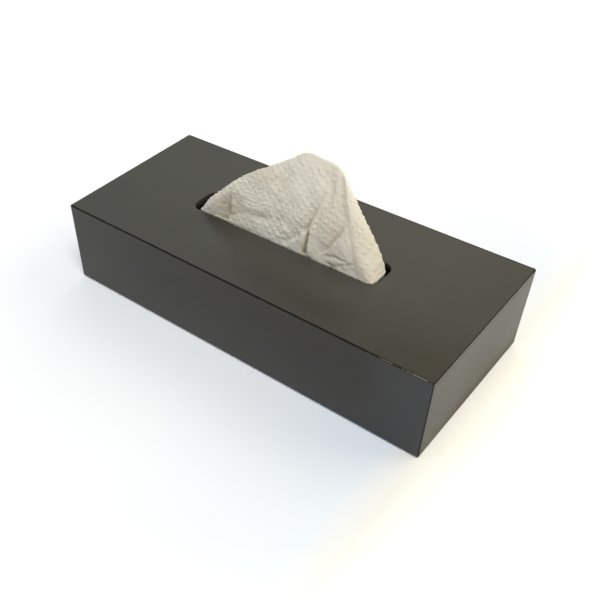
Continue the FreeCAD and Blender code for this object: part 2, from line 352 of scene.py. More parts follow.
def make_lacquer():
    """Satin anthracite lacquer, sprayed on thin fibreboard: dark, broad soft highlight, painted light and
    shade.
    """
    material, tree, shader = new_material("satin_anthracite_lacquer")
    place = add(tree, WHERE)
    axes = along_box, across, height = add(tree, SPLIT, [place], slice(3))
    distance, to_end = nearest_edge(tree, axes)
    streak = add(tree, CLOUDS, {"Vector": place, "Scale": per_metre(4.17), "Detail": 2.0})
    cloudy = add(tree, CLOUDS, {"Vector": place, "Scale": per_metre(71.4), "Detail": 3.0})
    peel = add(tree, CLOUDS, {"Vector": place, "Scale": per_metre(1.176), "Detail": 2.0})

    # the painted dark line along each arris, a painted reflection of the dark room, narrower at the ends of
    # the box and wider along its back
    line = soft_steps(tree, [(to_end, 0.3, 2, 1.3, 1), (across, 52, 55, 1, 0.55)], distance)
    thin = soft_steps(tree, [(line, 0.45, 0.95, 1, 0)], add(tree, FADE, [streak, 0.3, 0.6, 0.8, 1]))
    # painted shade along the foot of the drawer front, darker and browner towards its lower edge, a painted
    # highlight on the arrises next to the drawer end, and dust
    foot = add(tree, POWER, [soft_steps(tree, [(height, 20, 2)]), 2.0])
    foot = soft_steps(tree, [(along_box, 128.6, 129.4), (across, -55, -10, 0.35, 1)], foot)
    painted_arris_highlight = [(along_box, 85, 118), (to_end, 0.5, 2.0), (distance, 0.25, 0.42, 1, 0)]
    painted_arris_highlight = soft_steps(tree, painted_arris_highlight, add(tree, FADE, [streak, 0.4, 0.5]))
    specks = add(tree, "ShaderNodeTexVoronoi", {"Vector": place, "Scale": per_metre(20.83)}, "Distance")
    dust = add(tree, TIMES, [add(tree, BELOW, [specks, 0.009]), 0.5])

    # one tone over the other, and the gloss that each one leaves
    tones = [(soft_steps(tree, [(axes[axis], *limit) for axis, *limit in region]), tone, left)
             for tone, left, region in PAINTED_TONES]
    tones += [(foot, "39290E", 0.2), (thin, "100F0D", 0.195), (painted_arris_highlight, "C4C0B4", 1.0), (dust, "B9B5AA", 1.0)]
    colour = add(tree, MIX, {0: cloudy, 6: linear("312F2A"), 7: linear("35332E")})
    gloss = SATIN_GLOSS
    for share, tone, left in tones:
        colour = add(tree, MIX, {0: share, 6: colour, 7: linear(tone)})
        if left < 1:
            gloss = add(tree, TIMES, [gloss, add(tree, FADE, [share, 0, 1, 1, left])])
    shader.inputs["Specular IOR Level"].default_value = SATIN_GLOSS
    plug(tree, shader, {
        "Base Color": colour, "Specular IOR Level": gloss, "IOR": 1.5,
        "Roughness": add(tree, FADE, [cloudy, 0.3, 0.7, 0.38, 0.43]),
        "Normal": add(tree, BUMP, {"Height": peel, "Distance": mm(0.012), "Strength": 0.6}),
    })
    return material


dress(["top_panel", "front_panel", "back_panel", "left_end_panel", "base_panel", "drawer_front"],
      make_lacquer())

# %% [markdown]
# ## Drawer boards and small parts
#
# Thin plywood shows two things: grain along one axis of the board, and its plies where the edge is cut.
# Both follow straight from coordinates. Noise squeezed across the grain gives the first; a ripple through
# the thickness gives the second, and shows only on edges, because on the broad faces the thickness
# coordinate doesn't change. Beech, tape, nickel and felt each have one pattern of marks, which their
# colour, their roughness and their bump all follow.

# %% Plywood
PLIES = 2.0  # mm from one pale ply to the next


def grain(tree, size, detail):
    """Cloudy values whose lumps have the given size along, across and up, in mm."""
    stretched = add(tree, SCALED, [add(tree, WHERE), [per_metre(length) for length in size]])
    return add(tree, CLOUDS, {"Vector": stretched, "Scale": 1.0, "Detail": detail})


def make_plywood(name, grain_axis, thin_axis):
    """Thin plywood in a matt black stain: dark and dry, with paler plies where it is cut."""
    material, tree, shader = new_material(name)
    fibre_size = [3.85] * 3
    fibre_size[grain_axis] = 71.4
    fibres = grain(tree, fibre_size, 5.0)
    depth = add(tree, SPLIT, [add(tree, WHERE)], thin_axis)
    wave = add(tree, SINE, [add(tree, TIMES, [depth, 2 * math.pi * per_metre(PLIES)])])
    ply = add(tree, FADE, [wave, 0.2, 0.7, 0.0, 0.35])
    stain = {0: add(tree, FADE, [fibres, 0.35, 0.65]), 6: linear("201E1C"), 7: linear("2E2B28")}
    plug(tree, shader, {
        "Base Color": add(tree, MIX, {0: ply, 6: add(tree, MIX, stain), 7: linear("4A4038")}),
        "Roughness": add(tree, FADE, [fibres, 0.3, 0.7, 0.75, 0.6]),
        "Normal": add(tree, BUMP, {"Height": fibres, "Distance": mm(0.08), "Strength": 0.5}),
    })
    return material


dress(["drawer_side_front", "drawer_side_back"], make_plywood("black_stained_plywood_sides", ALONG, ACROSS))
dress(["drawer_back", "stop_cleat"], make_plywood("black_stained_plywood_back", ACROSS, ALONG))
dress(["drawer_bottom"], make_plywood("black_stained_plywood_bottom", ALONG, UP))

# %% Beech, glide tape, nickel and felt
def make_marked(name, size, detail, colours, roughness, bump, flecks=None, **others):
    """A finish with one pattern of marks, and perhaps darker flecks.

    colours and roughness run from the least marked to the most, bump is the marks' height in mm and
    its strength, and flecks is their size and colour.
    """
    material, tree, shader = new_material(name)
    marks = grain(tree, size, detail)
    colour = add(tree, MIX, {0: marks, 6: linear(colours[0]), 7: linear(colours[1])})
    if flecks:
        share = add(tree, FADE, [grain(tree, flecks[0], 2.0), 0.62, 0.7, 0.0, 0.5])
        colour = add(tree, MIX, {0: share, 6: colour, 7: linear(flecks[1])})
    plug(tree, shader, {
        "Base Color": colour, "Roughness": add(tree, FADE, [marks, 0.3, 0.7, *roughness]),
        "Normal": add(tree, BUMP, {"Height": marks, "Distance": mm(bump[0]), "Strength": bump[1]}), **others,
    })
    return material


# plain beech dowel: pale and dull, with the short dark flecks that tell beech from other woods
dress(["stop_pins"], make_marked(
    "plain_beech_dowel", (1.11, 1.11, 16.7), 4.0, ("B58A5E", "CBA57A"), (0.6, 0.6), (0.05, 0.5),
    ((0.667, 0.667, 2.86), "8A6240"),
))
# skived low-friction tape: milky and slightly glossy, with fine marks along its length
dress(["glide_strip_front", "glide_strip_back"], make_marked(
    "low_friction_tape", (33.3, 0.556, 33.3), 3.0, ("BDBCB4", "CCCBC4"), (0.3, 0.45), (0.02, 0.6)
))
# nickel plate: a warm grey mirror, dulled by fine scratches
dress(["catch_magnet", "strike_disc"], make_marked(
    "scratched_nickel_plate", (2.5, 11.1, 0.385), 4.0, ("B5B0A6", "CFCBC2"), (0.2, 0.36), (0, 0),
    Metallic=1.0
))
# pressed black felt: no highlight at all, only a pale nap towards its rim
dress([name for name in nodes if name.startswith("felt_pad")], make_marked(
    "pressed_black_felt", (0.417,) * 3, 6.0, ("1B1B1B", "3A3938"), (0.95, 0.95), (0.2, 0.8),
    **{"Sheen Weight": 0.3},
))

# %% [markdown]
# ## The standing tissue: a fold plan
#
# The tissue that stands in the slot is one soft, embossed sheet, pulled up by its middle. Its front
# hangs like a nearly flat panel, creased where it was pinched. Cloth simulation gives natural folds
# but not these folds, so the panel is designed the way paper is folded: fold lines are drawn on the
# flat panel, each point with its depth, and the paper between the lines is flat. X runs along the
# slot from its middle, the second number is the height above the box, and the third is the depth
# towards the viewer of the front, all in millimetres.

# %% Where the tissue stands
tissue_low, tissue_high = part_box("standing_tissue")
MOUTH_LEFT = tissue_low[0] * 1000
MOUTH_FRONT = tissue_low[1] * 1000
MOUTH_BACK = tissue_high[1] * 1000
TAIL_DEPTH = (TOP - tissue_low[2]) * 1000
PEAK = (tissue_high[2] - TOP) * 1000
LEAN = 0.149  # the front panel leans back by this much for each mm of height
print(f"the mouth starts at x {MOUTH_LEFT:.1f} mm, the peak is {PEAK:.1f} mm above the box")

# %% Fold lines
FOLD_EDGE = [
    (MOUTH_LEFT, 0), (-55.0, 7), (-49.5, 13), (-44.2, 18.5), (-39.0, 23.7), (-32.6, 29.4),
    (-25.9, 34.2), (-18.5, 39.4), (-10.5, 44.0), (-0.4, 50.6), (7.2, 55.4), (12.9, PEAK + 0.8),
    (20.6, 59.0), (28.5, 58.3), (34.0, 57.0), (36.2, 55.2),
]
STRIP_EDGE = [(57.0, 0), (52.1, 8.9), (49.1, 18.2), (46.9, 23.3), (44.9, 31.4), (41.1, 41.7),
              (38.3, 51.6), (36.2, 55.2)]

FOLD_LINES = {
    "silhouette": [(x, h, 0) for x, h in FOLD_EDGE],
    "beside_strip": [(x, h, -0.1) for x, h in STRIP_EDGE[:-1]] + [(*STRIP_EDGE[-1], 0)],
    "mouth": [(-60, 0, 0), (-56, 0, 0.1), (-49.4, 0, 0.3), (-46.0, 0, -0.9), (-43, 0, -1.2), (-39.4, 0, -1.5),
              (-38.0, 0, -0.9), (-37, 0, 0.1), (-30, 0, 0.1), (-10, 0, 0), (5.5, 0, 0), (9, 0, 0.2),
              (16.6, 0, 0.2), (17.3, 0, -1.9), (20.5, 0, -1.9), (21.1, 0, 0.2), (34, 0, 0), (37, 0, -1.5),
              (43, 0, 0), (53, 0, -0.1), (57, 0, -0.3)],
    "left_band": [(-56.5, 1.2, 0.5), (-52.5, 4.5, 0.9), (-49.5, 8.4, 1.1), (-46, 12.6, 1.2), (-41, 17.4, 0.9),
                  (-36, 20.5, 0.2)],
    "band_edge": [(-49.4, 0, 0.3), (-47.3, 4.4, 0.5), (-45.2, 9.2, 0.5), (-42.4, 14, 0.4), (-38, 19.2, 0.2)],
    "facet_left": [(-46.0, 0, -0.9), (-44.6, 4.6, -0.9), (-42.8, 9.2, -0.9), (-40.4, 13.8, -0.8),
                   (-37.2, 18.8, -0.5)],
    "facet_right": [(-39.4, 0, -1.5), (-37.8, 4.5, -1.6), (-37.0, 9.5, -1.6), (-36.7, 15, -1.3),
                    (-36.3, 19, -0.6)],
    "pinch_edge": [(-36, 20.5, 0.2), (-35.5, 15, 0.2), (-35.3, 9.5, -0.1), (-36, 4.5, -0.5), (-38, 0, -0.9)],
    "pinch_right": [(-36, 20.5, 0.2), (-30.5, 15.8, 0.1), (-25, 10.6, -0.5)],
    "pinch_floor": [(-34.4, 5.4, -0.9), (-31.5, 7.4, -0.9), (-28, 9.4, -0.8)],
    "low_crease": [(-25, 10.6, -0.5), (-17, 10.4, -0.8), (-10, 12.3, -0.7), (-4.5, 15.2, -0.3),
                   (1, 19.5, 0.7)],
    "low_ridge": [(-37, 0, 0.1), (-33, 3.1, 0.1), (-28.5, 6.3, 0.0), (-24, 8.6, -0.1), (-15, 8.4, -0.1),
                  (-7, 9.4, 0.0), (0.8, 9.6, 0.0)],
    "low_field": [(-22, 3.5, 0.2), (-8, 3.5, -0.1), (2.5, 3.5, 0.0)],
    "bowl": [(-30, 24, 0.8), (-23, 21, 0.4), (-17, 21.5, 0.6), (-12, 27, 1.0)],
    "bowl_low": [(-24, 14.5, 0.9), (-14, 16, 0.9), (-9, 21, 1.0)],
    "upper_left": [(-16, 36.5, 0.9), (-8, 40, 0.9), (-1, 45, 0.6), (4, 49.5, 0.4)],
    "body_valley": [(6.6, 51, 0.1), (4.2, 45, -0.3), (0.8, 38, -0.5), (-3, 30, -0.3), (-5, 22, 0.2)],
    "body_ridge": [(11.5, 53, 1.0), (8.5, 42, 1.6), (4, 30, 1.7), (2.2, 21, 1.3)],
    "seam_line": [(1.3, 18.5, 0.9), (2.2, 13, 0.4), (2.8, 8, 0.1)],
    "body_front": [(24.5, 52, 0.9), (24.5, 42, 1.5), (20.5, 33, 1.4), (15.5, 23, 1.1), (12, 17, 0.8)],
    "shadow_valley": [(30.6, 55, -0.1), (29.7, 49, 0.2), (28.2, 44.5, 0.5), (27.2, 38.5, 0.3),
                      (25.6, 33, -0.3), (22.8, 26.5, -0.9), (20.7, 21, -1.4), (19.6, 16.6, -1.8)],
    "pale_corner": [(8.8, 1.2, 0.3), (11.2, 6.2, 0.6), (18, 12, 0.5), (19.6, 16.6, -1.8)],
    "brown_crease": [(3.6, 8, 0.5), (8.4, 11.6, 0.2), (14.6, 12.6, -0.2), (12, 8.6, -0.7),
                     (8, 3.8, -0.6), (5.6, 1.2, -0.1)],
    "slit_left": [(16.8, 1.5, 0.2), (17.3, 6.5, 0.3), (18.3, 11.5, 0.1), (19.6, 15.0, -0.9)],
    "slit_floor": [(17.4, 1.5, -1.9), (17.9, 6.5, -1.9), (18.9, 11, -1.9), (20.0, 14.8, -1.8)],
    "slit_depth": [(20.6, 1.5, -1.9), (20.7, 6.5, -1.9), (20.8, 11, -1.9), (20.9, 14.6, -1.8)],
    "slit_right": [(21.2, 1.5, 0.3), (21.3, 8, 0.9), (21.5, 14.8, 1.6), (22.3, 20.6, 2.2),
                   (24.4, 26.6, 2.2), (26.9, 33, 1.6), (28, 38.5, 1.2), (28.9, 44.5, 1.0)],
    "bright_facet": [(22.6, 9, 0.5), (25.6, 15, 0.2), (26.4, 22, 0.3), (27.2, 30, 0.9)],
    "right_field": [(27, 3, 0.2), (28, 12, 0.5), (30.5, 24, 0.9), (31.5, 36, 0.6), (31.8, 46, -0.2)],
    "right_ridge": [(33.8, 53, 0.8), (34.6, 44, 1.1), (34.8, 34, 1.1), (33.4, 24, 0.8), (32, 14, 0.3)],
    "brown_valley": [(36.2, 52.5, -0.5), (38.4, 44, -0.7), (39.8, 36, -0.6), (41.5, 28.5, -0.4)],
    "second_valley": [(44.2, 26.6, -0.3), (40.6, 20.6, -0.9), (37, 15.2, -1.2), (34.4, 9.4, -1.2)],
    "flap_left": [(45.9, 26.8, 0.2), (41.9, 20.6, 0.7), (38, 15, 0.9), (34.9, 7.7, 0.5)],
    "flap_low": [(34.9, 7.7, 0.5), (39, 8.0, 0.6), (43.5, 8.2, 0.7), (48, 7.9, 0.5), (51.6, 7.9, 0.1)],
    "flap_field": [(41, 12, 0.8), (44.5, 14.5, 1.4), (47.5, 17, 0.7)],
    "under_flap": [(35.2, 6.3, -0.4), (39, 6.8, -0.5), (43.5, 7.0, -0.5), (48, 6.6, -0.5), (51.8, 6.7, -0.3)],
    "wedge": [(36, 3.2, 0.1), (41, 4.6, 0.5), (46.3, 6.3, 0.2)],
    "under_wedge": [(41.5, 1.4, -0.3), (44.5, 3.6, -0.4), (47.6, 5.4, -0.4)],
}
print(len(FOLD_LINES), "fold lines,", sum(map(len, FOLD_LINES.values())), "points")

# %% Flat paper between the fold lines
PANEL_STEP = 0.3  # raster of the panel, mm
PANEL_LEFT, PANEL_RIGHT = -62.0, 60.0
PANEL_BOTTOM, PANEL_TOP = -1.0, 62.0
CREASE_SOFTNESS = 0.42  # mm, how far a crease is rounded


def line_points(lines):
    """The points of all lines, the depth of each, and the edges from point to point along the lines."""
    depths = {}
    edges = []
    for line in lines:
        keys = [(round(x, 3), round(h, 3)) for x, h, _ in line]
        for key, (_, _, depth) in zip(keys, line):
            depths.setdefault(key, depth)
        order = [list(depths).index(key) for key in keys]
        edges += [(a, b) for a, b in zip(order, order[1:]) if a != b]
    return [Vector(key) for key in depths], list(depths.values()), edges


def panel_relief(lines):
    """Depth of the folded panel on a raster: triangles between the fold lines, creases softened."""
    sides = ((PANEL_LEFT, PANEL_BOTTOM), (PANEL_RIGHT, PANEL_BOTTOM), (PANEL_RIGHT, PANEL_TOP),
             (PANEL_LEFT, PANEL_TOP))
    points, known, edges = line_points([*lines.values(), [(x, h, 0) for x, h in sides]])
    found, _, faces, origins, _, _ = delaunay_2d_cdt(points, edges, [], 0, 0.01)
    depths = []
    for place, ids in zip(found, origins):
        ids = ids or [min(range(len(points)), key=lambda i: (points[i] - place).length)]
        depths.append(sum(known[i] for i in ids) / len(ids))
    xs = PANEL_LEFT + np.arange(int((PANEL_RIGHT - PANEL_LEFT) / PANEL_STEP) + 1) * PANEL_STEP
    hs = PANEL_BOTTOM + np.arange(int((PANEL_TOP - PANEL_BOTTOM) / PANEL_STEP) + 1) * PANEL_STEP
    relief = np.zeros((len(hs), len(xs)))
    for face in faces:
        a, b, c = (found[i] for i in face)
        area = (b - a).cross(c - a)
        if abs(area) < 1e-9:
            continue
        left, right = np.searchsorted(xs, [min(a.x, b.x, c.x), max(a.x, b.x, c.x)])
        low, high = np.searchsorted(hs, [min(a.y, b.y, c.y), max(a.y, b.y, c.y)])
        gx, gh = np.meshgrid(xs[left:right + 1], hs[low:high + 1])
        share_b = ((gx - a.x) * (c.y - a.y) - (gh - a.y) * (c.x - a.x)) / area
        share_c = ((b.x - a.x) * (gh - a.y) - (b.y - a.y) * (gx - a.x)) / area
        inside = (share_b >= -1e-6) & (share_c >= -1e-6) & (share_b + share_c <= 1 + 1e-6)
        at_a, at_b, at_c = (depths[i] for i in face)
        window = relief[low:high + 1, left:right + 1]
        window[inside] = (at_a + (at_b - at_a) * share_b + (at_c - at_a) * share_c)[inside]
    return blurred(relief, CREASE_SOFTNESS / PANEL_STEP)


def blurred(field, sigma):
    """A soft-focus copy: the field smoothed by a bell curve along rows, then along columns."""
    reach = int(3 * sigma) + 1
    bell = np.exp(-0.5 * (np.arange(-reach, reach + 1) / sigma) ** 2)
    bell /= bell.sum()
    for axis in (0, 1):
        padded = np.pad(field, [(reach, reach) if a == axis else (0, 0) for a in (0, 1)], mode="edge")
        field = np.apply_along_axis(lambda line: np.convolve(line, bell, "valid"), axis, padded)
    return field


def mixed(table, across, up, share_across, share_up):
    """Four neighbouring values of a table, each counted by how near it is."""
    near, far = (table[across[0], i] * (1 - share_across) + table[across[1], i] * share_across for i in up)
    return near * (1 - share_up) + far * share_up


def cloud(x, h, size, seed):
    """Smooth random height between about -1 and 1, with lumps of the given size in mm."""
    table = np.random.RandomState(seed).uniform(-1, 1, (64, 64))
    px, ph = x / size, h / size
    ix, ih = np.floor(px).astype(int), np.floor(ph).astype(int)
    fx, fh = px - ix, ph - ih
    fx, fh = fx * fx * (3 - 2 * fx), fh * fh * (3 - 2 * fh)
    return mixed(table, (ix % 64, (ix + 1) % 64), (ih % 64, (ih + 1) % 64), fx, fh)


relief = panel_relief(FOLD_LINES)
print(f"relief from {relief.min():.1f} to {relief.max():.1f} mm")

# %% [markdown]
# ## The standing tissue: rails and grid
#
# The sheet is a closed loop at every height: along the front panel, from the edge of the end strip round
# the right-hand end, and back behind. A grid carries it: its columns run from the mouth of the slot up
# to the fold along the top, so they fan out like the pleats of a real one. The grid is bent over rails,
# lines that the loops have to pass through, which keeps every row tidy and needs no simulation. Below
# the mouth the same columns hang down into the box, and there the loop is gathered in pleats, because
# the sheet is much wider than the slot.

# %% Lines to bend the sheet over
FRONT_COLUMNS = 262
STRIP_COLUMNS = 44
ROWS = 124
END_COLUMNS = slice(FRONT_COLUMNS, FRONT_COLUMNS + STRIP_COLUMNS)
ROW_CROWDING = 1.12  # rows lie closer together towards the fold along the top
MOUTH_AIR = 0.3  # mm that the sheet keeps from the front and the back of the mouth
PANEL_FOOT = MOUTH_FRONT + MOUTH_AIR  # y of the front panel at the mouth
PAPER_BEND = 0.8  # mm, radius of the fold along the top
FRAY = 0.35  # mm by which the fold along the top wanders
BACK_TUCK = 30.0  # mm from the left end over which the back layer moves to the rear
LAYER_GAP = 1.5  # mm between the layers at the left end of the mouth
END_RAIL = [(65.4, 0), (64.2, 4), (61.1, 11), (56.1, 20.5), (52.2, 27.2), (48.2, 33.8), (43.2, 42.5),
            (38.7, 49.4), (35.8, 54.6)]
END_DEPTH = 3.5  # y of the end rail at the mouth
BACK_CORNER = [(56.0, 0), (49, 14), (43, 28), (38, 42), (35, 55.0)]
MOUTH_BULGE = (1.22, 0.95, 0.2)  # pull of the strip's curves at the mouth: at its edge, end and corner
ROUND_BULGE = 0.44  # the same pull where the strip is round, from a quarter of the height on


def along(points, share):
    """Position at a share of the length of a line through points, for an array of shares."""
    points = np.array(points, float)
    lengths = np.r_[0, np.cumsum(np.linalg.norm(np.diff(points, axis=0), axis=1))]
    where = np.asarray(share) * lengths[-1]
    return np.stack([np.interp(where, lengths, points[:, i]) for i in range(points.shape[1])], -1)


def smooth_line(points, rounds=3):
    """Chaikin's corner cutting: the same line with its corners rounded off."""
    points = np.array(points, float)
    for _ in range(rounds):
        near = points[:-1] * 0.75 + points[1:] * 0.25
        far = points[:-1] * 0.25 + points[1:] * 0.75
        points = np.concatenate([points[:1], np.stack([near, far], 1).reshape(-1, 2), points[-1:]])
    return points


def bezier(a, b, c, d, t):
    """Cubic curves between rows of points, one curve for each row."""
    t = t[None, :, None]
    a, b, c, d = (p[:, None, :] for p in (a, b, c, d))
    return a * (1 - t) ** 3 + 3 * b * t * (1 - t) ** 2 + 3 * c * t ** 2 * (1 - t) + d * t ** 3


def panel_y(height):
    """How far back the leaning front panel is at a height."""
    return PANEL_FOOT + LEAN * height


def bend_y(distance):
    """How far the paper has turned away from its middle at a distance below the fold along the top."""
    return PAPER_BEND * np.sqrt(1 - np.clip(1 - distance / PAPER_BEND, 0, 1) ** 2)


fold_edge, strip_edge = smooth_line(FOLD_EDGE), smooth_line(STRIP_EDGE)
columns = 2 * FRONT_COLUMNS + STRIP_COLUMNS - 1
print(f"{ROWS} rows of {columns} points; the fold along the top has {len(fold_edge)} points")

# %% One loop of the sheet for each row
def front_panel(v, edge):
    """Straight lines from the mouth to the fold along the top; the last ones bow to the strip's edge."""
    u = np.linspace(0, 1, FRONT_COLUMNS)
    foot_length = STRIP_EDGE[0][0] + 0.9 - MOUTH_LEFT
    foot = np.stack([MOUTH_LEFT + foot_length * u, np.zeros_like(u)], -1)
    head = along(fold_edge, u)
    frayed = FRAY * cloud(head[:, 0], head[:, 1], 2.2, 51)
    head[:, 1] += frayed * np.clip((PEAK - head[:, 1]) / 20, 0.2, 1)
    straight = foot[-1] * (1 - v) + head[-1] * v
    bow = (edge - straight)[:, None, :] * (u ** 6)[None, :, None]
    front = foot[None] * (1 - v[..., None]) + head[None] * v[..., None] + bow
    y = panel_y(front[..., 1]) + PAPER_BEND - bend_y(np.linalg.norm(front - head[None], axis=-1))
    return np.stack([front[..., 0], y, front[..., 1]], -1)


def end_strip(v, edge):
    """Two curves in each row: from the strip's edge to the end rail, and on to the back corner."""
    edge = np.stack([edge[:, 0], panel_y(edge[:, 1]), edge[:, 1]], -1)
    end = along(smooth_line(END_RAIL), v[:, 0])
    corner = along(BACK_CORNER, v[:, 0])
    top_y = panel_y(end[-1, 1]) + PAPER_BEND
    share = end[:, 1] / end[-1, 1]
    end = np.stack([end[:, 0], END_DEPTH + (top_y - END_DEPTH) * share, end[:, 1]], -1)
    back_y = MOUTH_BACK - MOUTH_AIR + (top_y + 1.2 - MOUTH_BACK) * corner[:, 1] / corner[-1, 1]
    corner = np.stack([corner[:, 0], back_y, corner[:, 1]], -1)

    # full and square at the mouth, rounder from a quarter of the height on
    rise = np.minimum(share * 4, 1)[:, None]
    reach, square, cut = (at_mouth + (ROUND_BULGE - at_mouth) * rise for at_mouth in MOUTH_BULGE)
    rightwards, backwards = np.array([1, 0, 0]), np.array([0, 1, 0])
    half = STRIP_COLUMNS // 2
    over = edge + rightwards * (end - edge)[:, :1] * reach
    down = end - backwards * (end - edge)[:, 1:2] * square
    first = bezier(edge, over, down, end, np.linspace(0, 1, half))
    on = end + backwards * (corner - end)[:, 1:2] * cut
    round_back = corner - rightwards * (corner - end)[:, :1] * cut
    second = bezier(end, on, round_back, corner, np.linspace(0, 1, half + 1))
    return np.concatenate([first, second[:, 1:]], axis=1)


def back_layer(v):
    """From the back corner to the left fold, close behind the front panel towards the left."""
    foot_x = np.linspace(BACK_CORNER[0][0], MOUTH_LEFT, FRONT_COLUMNS)
    near, far = MOUTH_FRONT + LAYER_GAP, MOUTH_BACK - MOUTH_AIR
    foot_y = near + (far - near) * np.clip((foot_x - MOUTH_LEFT) / BACK_TUCK, 0, 1) ** 0.8
    head = along(fold_edge, np.linspace(1, 0, FRONT_COLUMNS))
    x = foot_x * (1 - v) + head[:, 0] * v
    h = head[:, 1] * v
    y = foot_y * (1 - v) + (panel_y(head[:, 1]) + PAPER_BEND) * v
    y += bend_y(np.hypot(x - head[:, 0], h - head[:, 1]))
    return np.stack([x, y, h], -1)


def make_loops():
    """Points of the sheet in mm, as rows from the mouth to the top fold and columns round the loop."""
    v = (1 - (1 - np.linspace(0, 1, ROWS)) ** ROW_CROWDING)[:, None]
    edge = along(strip_edge, v[:, 0])
    return front_panel(v, edge), end_strip(v, edge), back_layer(v)


for name, part in zip(("front", "strip", "back"), make_loops()):
    print(f"{name}: {part.shape[1]} columns, x {part[..., 0].min():.1f} to {part[..., 0].max():.1f} mm")

# %% [markdown]
# ## The standing tissue: embossing and small wrinkles
#
# Tissue is embossed with staggered rows of small dots, and it keeps a memory of every squeeze as fine
# ripples. Both are real height on this sheet, not only a bump in the shader, because they show along
# the fold against the background. The dots follow a square pattern set on its corner. Ripples are
# sines whose rows bend round a centre or run one way, each kept to its own patch of the panel.

# %% Embossed dots
DOT_STEP = 3.9  # mm between neighbouring dots
DOT_RADIUS = 0.8
DOT_HEIGHT = 0.52
BODY_TURN = math.radians(3)  # how the rows of dots are turned on the body of the panel
RIGHT_TURN = math.radians(24)  # and to the right of the long crease
STRIP_TURN = math.radians(-14)
BACK_TURN = math.radians(8)
LONG_CREASE_H = [0, 16, 21, 33, 45, 59]
LONG_CREASE_X = [21, 21, 22, 27, 29, 31]
PRESSED_FLAT = [  # where the paper was squeezed most: strength, middle and reach in mm
    (0.55, (-20, 19), (12, 7)), (0.6, (-46, 10), (10, 14)), (0.45, (-14, 3), (24, 6)),
    (0.6, (27, 7), (8, 11)), (0.7, (13, 10), (7, 8)), (0.5, (43, 14), (8, 9)), (0.8, (22, 59), (16, 4)),
]


def patch(x, h, centre, reach):
    """1 in the middle of an oval patch, falling to 0 outside it."""
    return np.exp(-(((x - centre[0]) / reach[0]) ** 2 + ((h - centre[1]) / reach[1]) ** 2) ** 1.5)


def patches(x, h, rows):
    """The sum of oval patches, each with its strength, middle and reach."""
    return sum(strength * patch(x, h, centre, reach) for strength, centre, reach in rows)


def dots(x, h, turn):
    """Height of the embossed dots at paper coordinates in mm."""
    angle = turn + math.pi / 4
    a = (x * math.cos(angle) + h * math.sin(angle)) / DOT_STEP
    b = (-x * math.sin(angle) + h * math.cos(angle)) / DOT_STEP
    radius = np.hypot(a - np.round(a), b - np.round(b)) * DOT_STEP
    return DOT_HEIGHT * np.exp(-((radius / DOT_RADIUS) ** 2))


def front_dots(x, h):
    """The dots of the front panel, lower in patches and where they were pressed flat."""
    body = x < np.interp(h, LONG_CREASE_H, LONG_CREASE_X)
    strength = 0.9 + 0.3 * cloud(x, h, 5, 31) - patches(x, h, PRESSED_FLAT)
    return np.where(body, dots(x, h, BODY_TURN), dots(x, h, RIGHT_TURN)) * np.clip(strength, 0.15, 1.2)


print(f"{DOT_HEIGHT} mm dots, {DOT_STEP} mm apart: {(100 / DOT_STEP) ** 2:.0f} on a square of 10 cm")

# %% Ripples
BOWL = (-22.5, 34.5)  # middle of the rings of ripples, x and height
RUNS = [  # straight ripples: height, step, direction and wander, patch, size and seed of their gaps
    (0.3, 1.9, (0.6, 0.8, 0.7), ((-31.5, 13.5), (5, 6)), (2.0, 14)),
    (0.2, 1.8, (-0.3, 1.0, 0.7), ((12.5, 13.5), (5, 3)), (3, 15)),
    (0.12, 2.4, (0.7, 1.0, 0.7), ((5, 6), (5, 4)), (2.5, 16)),
]
CRUMPLED = [(1.7, (8, 9), (9, 7)), (1.5, (-31, 12), (6, 8)), (0.8, (-16, 5), (20, 7))]


def broken(x, h, size, seed):
    """Between 0 and 1 in patches, so that a set of ripples comes and goes."""
    return np.clip(0.45 + 1.1 * cloud(x, h, size, seed), 0, 1)


def ripples(x, h):
    """The fine ripples of the front panel in mm, with the crumple and the slow swell under them."""
    wander = 1.2 * cloud(x, h, 6.0, 11) + 0.6 * cloud(x, h, 2.6, 12)
    ring = np.hypot(x - BOWL[0], 1.1 * (h - BOWL[1])) + wander
    round_ring = np.arctan2(h - BOWL[1], x - BOWL[0]) * 14
    comes = broken(round_ring / 2.4, ring, 2.1, 13)
    total = 0.18 * np.sin(ring * 2 * math.pi / 2.3) * patch(x, h, (-20, 20), (13, 9)) * comes
    across = 0.85 * h - 0.53 * x + 0.6 * wander
    total += 0.16 * np.sin(across * 2 * math.pi / 2.1) * patch(x, h, (-27, 29), (8, 5)) * comes
    for height, step, (by_x, by_h, by_wander), place, gaps in RUNS:
        run = by_x * x + by_h * h + by_wander * wander
        total += height * np.sin(run * 2 * math.pi / step) * patch(x, h, *place) * broken(x, h, *gaps)
    crumple = 0.13 * cloud(x, h, 2.6, 21) + 0.07 * cloud(x, h, 1.3, 22)
    swell = 0.5 * cloud(x + 0.4 * h, h - 0.3 * x, 8.0, 23)
    return total + crumple * (1 + patches(x, h, CRUMPLED)) + swell


panel_x, panel_h = np.meshgrid(np.arange(-50, 40, 1.0), np.arange(0, 50, 1.0))
print(f"ripples up to {abs(ripples(panel_x, panel_h)).max():.1f} mm high")
